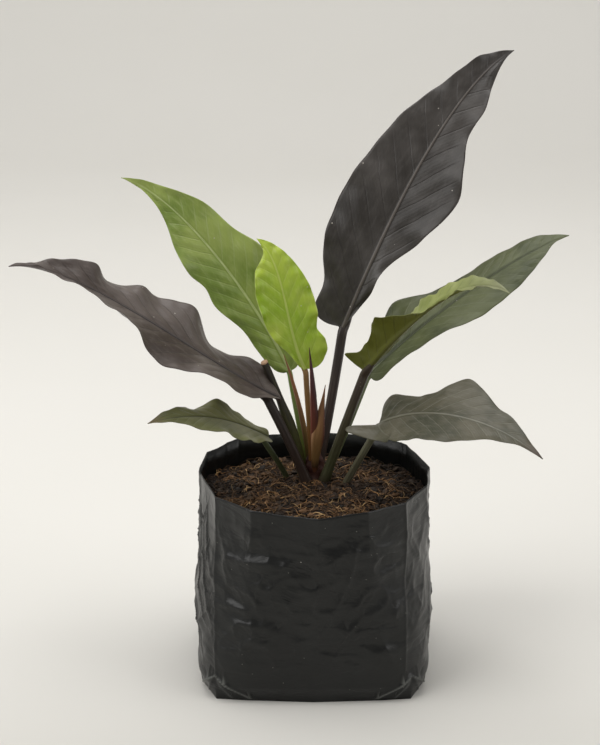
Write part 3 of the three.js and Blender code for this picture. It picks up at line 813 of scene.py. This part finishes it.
def finish_roots():
    """The roots keep their solids, with a pale, hairy root skin."""
    f = Finish("root skin")
    cloud = f.noise(120, 4, 0.65)
    colour = f.mix(cloud.between(0.3, 0.7), (170, 138, 96), (120, 88, 56))
    skin = f.shade(Base_Color=colour, Roughness=0.7 + (cloud - 0.5) * 0.3,
                   Normal=f.bump(cloud + f.noise(700, 2) * 0.4, 0.0008, 0.6))
    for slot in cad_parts["roots"].material_slots:
        slot.material = skin


# ---------------------------------------------------------------- grow bag

BAG_NODE = "grow_bag"
BAG_LOW, BAG_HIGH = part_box(BAG_NODE)
BAG_TALL = (BAG_HIGH.z - BAG_LOW.z) / MM
BAG_HALF_X = [[0, 0.95], [0.045, 0.969], [0.15, 0.981], [0.336, 0.994], [1, 1]]
BAG_HALF_Y = [[0, 0.943], [0.045, 0.962], [0.15, 0.975], [0.45, 0.994], [1, 1]]
BAG_POWER = [[0, 5.4], [0.15, 4.2], [0.45, 2.7], [0.82, 2.2], [1, 2.1]]
FILM = 0.35  # mm
RIM_DROP = 1.2  # mm that the wandering rim lies below the frame's top, on average
# Straight folds up the wall, as X in mm and side (-1 front, 1 rear), and those of the gussets.
FOLDS = [(-64, -1), (59.5, -1), (-60, 1), (62, 1)]
# Corners of the rim as (direction in degrees, distance from the axis in mm).
RIM_CORNERS = [(-146, 77.5), (-121, 78.5), (-88, 79), (-64, 79), (-41, 78.5), (-17, 80), (7, 81.5),
               (39.5, 86), (60.7, 83.5), (86, 80), (111, 80), (129.4, 83.5), (151.7, 85), (178, 80.3)]
FOOT_CORNERS = [(-64, -68), (-41, -70.5), (0, -73), (42, -70.5), (64, -68), (73, -46), (71, 0), (73, 46),
                (64, 67), (0, 72), (-64, 67), (-73, 46), (-71, 0), (-73, -46)]  # plan of the bottom, mm
FOOT_DIAGONALS = (-133.3, -46.7, 46.8, 133.2)  # directions of its corners, in degrees
FOOT_DIAGONAL = 92  # mm from the axis to those corners
FOOT_TOP = 0.09  # height at which the folded foot meets the wall, as a share of the bag's
FACET_TOP = 0.13  # height of the creases that meet over each corner of the foot
FACET_HALF = 25  # mm from the corner out to where they reach the ground
CREASE_HEIGHT = 2.2  # mm
GUSSET_HALF = 0.62  # radians from its middle line to its edge
SINK = 1.6  # mm that the film falls back past a fold, and along a gusset's middle line
FAR = 99.0  # mm, a distance past any effect


def turn_from(angle, degrees):
    """Signed turn in radians from a direction in degrees."""
    return np.mod(angle - math.radians(degrees) + np.pi, TURN) - np.pi


def chord(angle, corners, radii):
    """Radius of the polygon through corners (radians) at radii: for a direction between two
    corners a and b it is Ra Rb sin(b - a) / (Ra sin(angle - a) + Rb sin(b - angle))."""
    order = np.argsort(np.mod(corners, TURN))
    corners, radii = np.mod(corners, TURN)[order], np.asarray(radii)[order]
    corners = np.append(corners, corners[0] + TURN)
    radii = np.append(radii, radii[0])
    angle = np.mod(angle - corners[0], TURN) + corners[0]
    i = np.clip(np.searchsorted(corners, angle, side="right") - 1, 0, len(corners) - 2)
    a, b, near, far = corners[i], corners[i + 1], radii[i], radii[i + 1]
    return near * far * np.sin(b - a) / (near * np.sin(angle - a) + far * np.sin(b - angle))


def round_square(angle, h):
    """Plan radius in mm at height h, 0 to 1: the squared circle
    ((|cos| / half x)^p + (|sin| / half y)^p)^(-1/p), with p falling from 5.4 to 2.1 upwards."""
    half_x = smooth(BAG_HALF_X, h) * (BAG_HIGH.x - BAG_LOW.x) / 2 / MM
    half_y = smooth(BAG_HALF_Y, h) * (BAG_HIGH.y - BAG_LOW.y) / 2 / MM
    power = smooth(BAG_POWER, h)
    across, away = np.abs(np.cos(angle)), np.abs(np.sin(angle))
    return ((across / half_x)**power + (away / half_y)**power)**(-1 / power)


def bag_outline(angle, h):
    """The squared circle, drawn towards a polygon of flat panels at the rim, and blended in a
    straight line into the polygon of the foot below the corner facets."""
    soft = round_square(angle, h)
    directions, distances = np.array(RIM_CORNERS, float).T
    rim = chord(angle, np.radians(directions), distances)
    radius = soft + (rim - soft) * ease(0.45, 1, h)
    foot = np.array(FOOT_CORNERS, float)
    flat = chord(angle, np.arctan2(foot[:, 1], foot[:, 0]), np.hypot(*foot.T))
    return flat + (radius - flat) * np.clip(h / FOOT_TOP, 0, 1)


def crest(off, reach):
    """A sharp crease: e to the power of minus the distance from it over its reach."""
    return np.exp(-np.abs(off) / reach)


def bag_creases(angle, h):
    """Height in mm of the sharp creases: the folds up the wall, the middle line of each gusset,
    and two pairs of lines that meet in a point over each corner of the foot."""
    radius = bag_outline(angle, h)
    x, y = polar(radius, angle)
    above = ease(FACET_TOP * 0.8, FACET_TOP * 1.1, h)
    ridge = 0.0
    for place, side in FOLDS:
        off = np.where(np.sign(y) == side, x - place, FAR)
        ridge = ridge + 0.5 * crest(off, 0.9) * above
    ridge = ridge + 0.6 * crest(y, 1.2) * ease(0.1, 0.3, h)
    reach = FACET_HALF * np.clip(1 - h / FACET_TOP, 0, 1)
    for degrees in FOOT_DIAGONALS:
        off = np.abs(turn_from(angle, degrees)) * FOOT_DIAGONAL
        fade = ease(0.005, 0.02, h) * ease(1.2, 0.85, h / FACET_TOP)
        ridge = ridge + CREASE_HEIGHT * crest(off - reach, 1.8) * fade
        ridge = ridge + 1.5 * crest(off - reach * 0.45, 1.4) * fade * ease(0.95, 0.6, h / FACET_TOP)
    return ridge


def bag_relief(angle, h):
    """How far the film stands out of the plain outline, in mm.

    Sum of: the creases, a step inwards by 1.6 (1 - e^(-d/6)) at distance d past each fold, a
    hollow down the middle of each gusset, broad soft dents that are wider than they are high,
    crumpled ones (1 - |noise|, to a power) in the panels, and longer slanting wrinkles of that
    kind in the gussets. Dents die away beside a fold, so that it stays straight."""
    u = angle / TURN
    radius = bag_outline(angle, h)
    x, y = polar(radius, angle)
    above = ease(FACET_TOP * 0.8, FACET_TOP * 1.2, h)
    relief = bag_creases(angle, h)
    still = 0.0
    for place, side in FOLDS:
        off = np.where(np.sign(y) == side, x - place, FAR)
        past = np.where(np.sign(y) == side, np.maximum((x - place) * np.sign(place), 0), 0)
        relief = relief - SINK * (1 - np.exp(-past / 6)) * above
        still = still + np.exp(-(off / 5)**2)
    gusset = sum(np.exp(-(turn_from(angle, side) / GUSSET_HALF)**4) for side in (0, 180))
    relief = relief - gusset * SINK * np.exp(-(y / 9)**2) * ease(0.1, 0.3, h)
    panel = 1 - np.minimum(gusset, 1)
    broad = lattice(11, u, h, 12, 5) * 1.3
    dents = lattice(12, u + 0.05 * h, h, 27, 15) * (0.4 + 0.6 * panel)
    crumple = ridges(16, u - 0.11 * h, h, 34, 11, 4) + ridges(17, u + 0.09 * h, h, 27, 13, 4)
    dents = dents + crumple * 1.15 * panel * ease(0.08, 0.35, h) * ease(1, 0.8, h)
    small = lattice(13, u - 0.06 * h, h, 76, 32) * 0.16
    slant = ridges(14, u + 0.16 * h, h, 44, 4, 5)
    counter = ridges(15, u - 0.20 * h, h, 36, 5, 6)
    wrinkles = (1.5 * slant + 1.5 * counter) * (0.16 + 0.84 * gusset) * ease(1.02, 0.75, h)
    calm = ease(0.02, 0.3, h) * ease(1.04, 0.82, h)
    return relief + (broad + dents * (1 - 0.8 * still) + small) * calm + wrinkles * ease(0.08, 0.25, h)


def add_bag():
    """The bag: one film, 0.35 mm thick, from the middle of the bottom up the wall, over the rim
    and down the inside. The rim's height wanders by about a millimetre."""
    wall = rows_of(92)
    h_out = np.concatenate([np.zeros(5), np.linspace(0, 1, wall)**1.15])
    part = np.concatenate([[0.03, 0.3, 0.6, 0.85, 0.97], np.ones(wall)])
    h_in = np.concatenate([np.linspace(1, 0.02, 14), np.full(3, 0.02)])
    part_in = np.concatenate([np.ones(14), [0.9, 0.5, 0.03]])
    h, turn = np.meshgrid(np.concatenate([h_out, h_in]), round_turn(rows_of(720)), indexing="ij")
    share = np.concatenate([part, part_in])[:, None]
    inside = np.concatenate([np.zeros(len(h_out)), np.full(len(h_in), FILM)])[:, None]
    radius = (bag_outline(turn, h) + bag_relief(turn, h) - inside) * share
    u = turn / TURN
    rim = 0.9 * lattice(21, u, h * 0, 11, 1) + 0.4 * lattice(22, u, h * 0, 40, 1)
    z = h * (BAG_TALL - RIM_DROP + rim) + inside * (h < 0.5)
    rings = np.stack([*polar(radius, turn), z], -1) * MM
    rings[..., 2] += BAG_LOW.z
    # Painted highlight: the film is painted paler along the crests of its creases, where they catch the
    # light.
    painted_crease_highlight = np.clip(bag_creases(turn, h) / CREASE_HEIGHT, 0, 1)
    attributes = {"bag": np.stack([u, h, painted_crease_highlight], -1)}
    piece("bag_film", tube(rings), film_finish(), [BAG_NODE], attributes)


def film_finish():
    """Black film: a near-black body, cloudy gloss, soft crinkles, a painted highlight along its
    creases, and dust."""
    f = Finish("black film")
    turn, h, painted_crease_highlight = f.attribute("bag")
    cloud = f.noise(26, 4, 0.6)
    crinkle = f.noise(150, 4, 0.6, at=f.join(turn * 0.45, h * 0.22, 0.0), warp=0.5)
    smear = f.noise(44, 3, 0.55, at=f.join(turn * 0.50 + h * 0.06, h * 0.27, 0.0), warp=0.9)
    colour = f.coat(
        (12, 13, 12),
        (cloud.between(0.35, 0.75), (21, 22, 21)), (smear.between(0.55, 0.8) * 0.2, (44, 45, 42)),
        # painted highlight along the crease crests
        (painted_crease_highlight.between(0.3, 1.0) * 0.75, (116, 118, 114)),
        (f.specks(300, 0.10, 0.10) * 0.6, (140, 140, 132)),
        (f.specks(110, 0.05, 0.10) * 0.8, (190, 188, 178)),
    )
    rough = 0.34 + (cloud - 0.5) * 0.2 + (smear - 0.5) * 0.16
    height = crinkle * 0.22 + smear * 1.5
    return f.shade(Base_Color=colour, Roughness=rough, Normal=f.bump(height, 0.0015, 0.4),
                   Specular_IOR_Level=0.38)


# ---------------------------------------------------------------- potting mix

SOIL_EDGE = 115
SOIL_MOUND = 5
SOIL_WALL = [2, 6, 20, 45, 90, 110]  # heights of the rings of its wall, mm
SOIL_INSET = 4  # mm from the bag's outline to that wall
SOIL_GAP = 0.4  # mm from the film to the top of the soil
SOIL_RADIUS = 78  # mm at which the dome has come down to its edge
STEM_AT = np.array([1.0, 25.0])


def ground(x, y):
    """Height of the soil in mm: a dome 5 mm high over its edge, with lumps of two sizes."""
    part = np.clip(np.hypot(x, y) / SOIL_RADIUS, 0, 1)
    u, v = x / 200 + 0.5, y / 200 + 0.5
    lumps = 1.5 * lattice(31, u, v, 26, 26) + 0.9 * lattice(32, u, v, 70, 70)
    return SOIL_EDGE + SOIL_MOUND * (1 - part**2) + lumps


def add_soil(finish):
    """The soil block: bottom, wall and a lumpy top that closes in rings towards the middle."""
    angle = round_turn(rows_of(300))
    h, turn = np.meshgrid(np.array(SOIL_WALL) / BAG_TALL, angle, indexing="ij")
    wall = np.stack([*polar(bag_outline(turn, h) - SOIL_INSET, turn), h * BAG_TALL], -1)
    share, turn = np.meshgrid(np.linspace(1, 0.05, rows_of(110)), angle, indexing="ij")
    radius = (film_at_soil(turn) - SOIL_GAP) * share
    x, y = polar(radius, turn)
    top = np.stack([x, y, ground(x, y)], -1)
    piece("soil_block", tube(np.concatenate([wall, top]) * MM), finish, ["soil"])


def film_at_soil(angle):
    """Radius in mm of the inside of the film, where the soil meets it."""
    edge = np.full(np.shape(angle), SOIL_EDGE / BAG_TALL)
    return bag_outline(angle, edge) + bag_relief(angle, edge) - FILM


def scatter(rng, count, clear, margin):
    """count random places on the soil, even over the disc, clear of the stem by clear mm and
    of the film by margin mm."""
    angle = rng.uniform(0, TURN, count * 2)
    radius = (film_at_soil(angle) - margin) * np.sqrt(rng.uniform(0, 1, count * 2))
    spots = np.stack(polar(radius, angle), -1)
    return spots[np.hypot(*(spots - STEM_AT).T) > clear][:count]


def add_bits(name, rings, rng, palette, shades, finish):
    """Many small tubes as one piece, rings being pieces x rows x columns x 3, each with a colour
    of the palette made darker or lighter within shades."""
    count, rows, columns = rings.shape[:3]
    faces = tube_faces(rows, columns)
    faces = outward(rings[0].reshape(-1, 3), faces)
    starts = np.arange(count)[:, None, None] * rows * columns
    tints = np.array([paint(*c) for c in palette])[rng.integers(0, len(palette), count)][:, :3]
    tints = tints * rng.uniform(*shades, (count, 1))
    colours = np.broadcast_to(tints[:, None, None], rings.shape)
    shape = (rings * MM).reshape(-1, 3), (faces + starts).reshape(-1, 4)
    piece(name, shape, finish, (), {"tint": colours})


def add_fibres(name, seed, count, length, thick, palette, finish):
    """Coir fibres: each path turns steadily in plan by its own curl and arches over the soil,
    with a section of four sides that thins towards both ends."""
    rng = np.random.default_rng(seed)
    spots = scatter(rng, count, 9, 3)
    count = len(spots)
    rows = 9
    step = rng.uniform(*length, count)[:, None] / (rows - 1)
    heading = rng.uniform(0, TURN, count)[:, None]
    curl = rng.normal(0, 0.28, count)[:, None]
    k = np.arange(rows)[None]
    bearing = heading + curl * k + 0.25 * np.sin(k * 1.1 + heading * 3)
    x = spots[:, :1] + np.cumsum(step * np.cos(bearing), axis=1)
    y = spots[:, 1:] + np.cumsum(step * np.sin(bearing), axis=1)
    reach = np.hypot(x, y)
    hold = np.minimum(1, (film_at_soil(np.arctan2(y, x)) - 1.5) / np.maximum(reach, 1))
    x, y = x * hold, y * hold
    arch = rng.uniform(0.2, 2.6, count)[:, None] * np.sin(np.pi * k / (rows - 1))
    tilt = rng.normal(0, 1.2, count)[:, None] * (k / (rows - 1) - 0.3)
    z = ground(x, y) + 0.3 + arch + np.maximum(tilt, -0.4)
    centres = np.stack([x, y, z], -1)
    along = unit(np.gradient(centres, axis=1))
    side = unit(np.cross(along, [0.0, 0.0, 1.0]))
    front = np.cross(side, along)
    corner = round_turn(4)
    size = rng.uniform(*thick, count)[:, None] * (0.25 + 0.75 * np.sin(np.pi * (k + 0.5) / rows))
    rings = centres[:, :, None] + size[..., None, None] * (
        np.cos(corner)[:, None] * side[:, :, None] + 0.8 * np.sin(corner)[:, None] * front[:, :, None])
    add_bits(name, rings, rng, palette, (0.55, 1.25), finish)


def add_chips(name, seed, count, size, palette, finish):
    """Bark chips and crumbs: low ellipsoids of 5 rings of 6, stretched, dented by random radii,
    turned at random and half sunk in the soil."""
    rng = np.random.default_rng(seed)
    spots = scatter(rng, count, 7, size[1] * 1.2 + 1)
    count = len(spots)
    rise = np.linspace(-0.92, 0.92, 5)
    turn = np.arange(6) * np.pi / 3
    ring = np.sqrt(1 - rise**2)
    ball = np.stack([ring[:, None] * np.cos(turn), ring[:, None] * np.sin(turn),
                     np.broadcast_to(rise[:, None], (5, 6))], -1)
    shape = ball[None] * rng.uniform(0.6, 1.3, (count, 5, 6, 1))
    big = rng.uniform(*size, count)
    scale = np.stack([big, big * rng.uniform(0.35, 0.8, count), big * rng.uniform(0.15, 0.45, count)], -1)
    shape = shape * scale[:, None, None]
    yaw, pitch = rng.uniform(0, TURN, count), rng.normal(0, 0.35, count)
    c, s, cp, sp = np.cos(yaw), np.sin(yaw), np.cos(pitch), np.sin(pitch)
    zero, one = np.zeros(count), np.ones(count)
    spin = np.stack([c, -s, zero, s, c, zero, zero, zero, one], -1).reshape(-1, 3, 3)
    lean = np.stack([cp, zero, sp, zero, one, zero, -sp, zero, cp], -1).reshape(-1, 3, 3)
    shape = np.einsum("nij,njk,nrck->nrci", spin, lean, shape)
    middle = np.concatenate([spots, (ground(*spots.T) + scale[:, 2] * 0.5)[:, None]], -1)
    add_bits(name, shape + middle[:, None, None], rng, palette, (0.5, 1.3), finish)


def soil_finish():
    """Damp mix: near-black brown with crumbs of lighter brown, matt and rough."""
    f = Finish("potting mix")
    crumbs = f.noise(420, 5, 0.7)
    patch = f.noise(40, 3, 0.6)
    colour = f.mix(crumbs.between(0.35, 0.7), (22, 16, 13), (62, 46, 35))
    colour = f.mix(patch.between(0.55, 0.75) * 0.3, colour, (92, 66, 44))
    return f.shade(Base_Color=colour, Roughness=0.8 + (crumbs - 0.5) * 0.3,
                   Normal=f.bump(crumbs, 0.0016, 0.9), Specular_IOR_Level=0.25)


def litter_finish(name, rough):
    """Fibres and chips: each has its own tint, with fine grain over it."""
    f = Finish(name)
    grain = f.noise(700, 3, 0.6)
    patch = f.noise(26, 2)
    colour = f.mix(patch.between(0.52, 0.7) * 0.22, f.tint("tint"), (160, 118, 74))
    colour = f.mix(patch.between(0.52, 0.36) * 0.72, colour, (22, 17, 13))
    colour = f.mix(grain.between(0.3, 0.8) * 0.45, colour, (30, 20, 14))
    return f.shade(Base_Color=colour, Roughness=rough + (grain - 0.5) * 0.3,
                   Normal=f.bump(grain, 0.0006, 0.6), Specular_IOR_Level=0.3)


def add_potting_mix():
    """The soil with everything that lies on it."""
    add_soil(soil_finish())
    fibre = litter_finish("coir", 0.6)
    bark = litter_finish("bark", 0.65)
    tan = [(178, 138, 92), (156, 114, 70), (196, 160, 112), (122, 88, 54)]
    dark = [(88, 64, 42), (58, 43, 31), (106, 78, 52)]
    black = [(32, 26, 20), (46, 36, 27), (64, 49, 35)]
    add_fibres("coir_fibres", 41, 560, (4, 16), (0.16, 0.4), tan, fibre)
    add_fibres("dark_fibres", 42, 1000, (5, 18), (0.2, 0.5), dark, fibre)
    add_chips("bark_chips", 43, 620, (1.6, 4.2), black + dark, bark)
    add_chips("soil_crumbs", 44, 2000, (0.6, 1.6), black + [(92, 70, 48)], bark)


# ---------------------------------------------------------------- studio

def add_floor():
    """A pale sheet: flat under the bag and swept up behind it by a quarter circle."""
    rows, columns = 60, 9
    v = np.linspace(0, 1, rows)
    bend = np.clip((v - 0.45) / 0.35, 0, 1) * np.pi / 2
    flat = np.clip(v / 0.45, 0, 1)
    rise = np.clip((v - 0.8) / 0.2, 0, 1)
    y = -2.6 + 4.2 * flat + 1.0 * np.sin(bend)
    z = 1.0 * (1 - np.cos(bend)) + 2.4 * rise
    x = np.linspace(-3.2, 3.2, columns)
    grid = np.stack(np.broadcast_arrays(x, y[:, None], z[:, None]), -1).reshape(-1, 3)
    r, k = np.meshgrid(np.arange(rows - 1), np.arange(columns - 1), indexing="ij")
    near = r * columns + k
    faces = np.stack([near, near + 1, near + columns + 1, near + columns], -1).reshape(-1, 4)
    f = Finish("studio paper")
    places = f.node("ShaderNodeSeparateXYZ", inputs={0: f.places()}).socket.node
    # Painted shade: the paper is painted darker towards the camera, where less light reaches it.
    front = Value(f, places.outputs["Y"]).between(0.12, -0.22)
    colour = f.mix(f.noise(3, 2), (232, 230, 225), (228, 226, 220))
    colour = f.mix(front, colour, (207, 205, 199))
    paper = f.shade(Base_Color=colour, Roughness=0.9, Specular_IOR_Level=0.2)
    floor = add_object("floor", smooth_mesh("floor", grid, faces, paper))


def add_light(name, place, target, size, power, colour):
    """A square soft box at place that looks at target."""
    lamp = bpy.data.lights.new(name, "AREA")
    lamp.size = size
    lamp.energy = power
    lamp.color = colour
    box = add_object(name, lamp)
    way = np.array(target, float) - np.array(place, float)
    box.location = place
    box.rotation_euler = (math.acos(-way[2] / np.linalg.norm(way)), 0, math.atan2(-way[0], way[1]))


def add_studio():
    """Soft light from the left and above, weaker from the right, and an even warm surround."""
    add_floor()
    middle = (0, 0, 0.18)
    white = (1.0, 0.995, 0.985)
    add_light("left_box", (-1.7, -0.8, 1.5), middle, 1.8, 28, white)
    add_light("top_box", (-0.1, 0.4, 2.4), middle, 2.0, 36, white)
    add_light("right_box", (1.9, -0.6, 1.2), middle, 1.6, 15, white)
    world = bpy.data.worlds.new("surround")
    world.use_nodes = True
    surround = world.node_tree.nodes["Background"].inputs
    surround["Color"].default_value = (1.0, 0.98, 0.96, 1)
    surround["Strength"].default_value = 0.27
    bpy.context.scene.world = world


# ---------------------------------------------------------------- the whole plant

def add_plant():
    """Leaves with their stalks, then the crown and the stem."""
    for name, leaf in LEAVES.items():
        leaf = {**PLAIN_LEAF, **leaf}
        shift = add_leaf(name, leaf, leaf_finish(name, leaf, {**PLAIN_LOOK, **LOOKS[name]}))
        add_stalk(name, leaf, shift, stalk_finish(name, *STALKS[name]))
    add_crown()
    add_stem()
    finish_roots()


add_camera()
add_studio()
add_bag()
add_potting_mix()
add_plant()
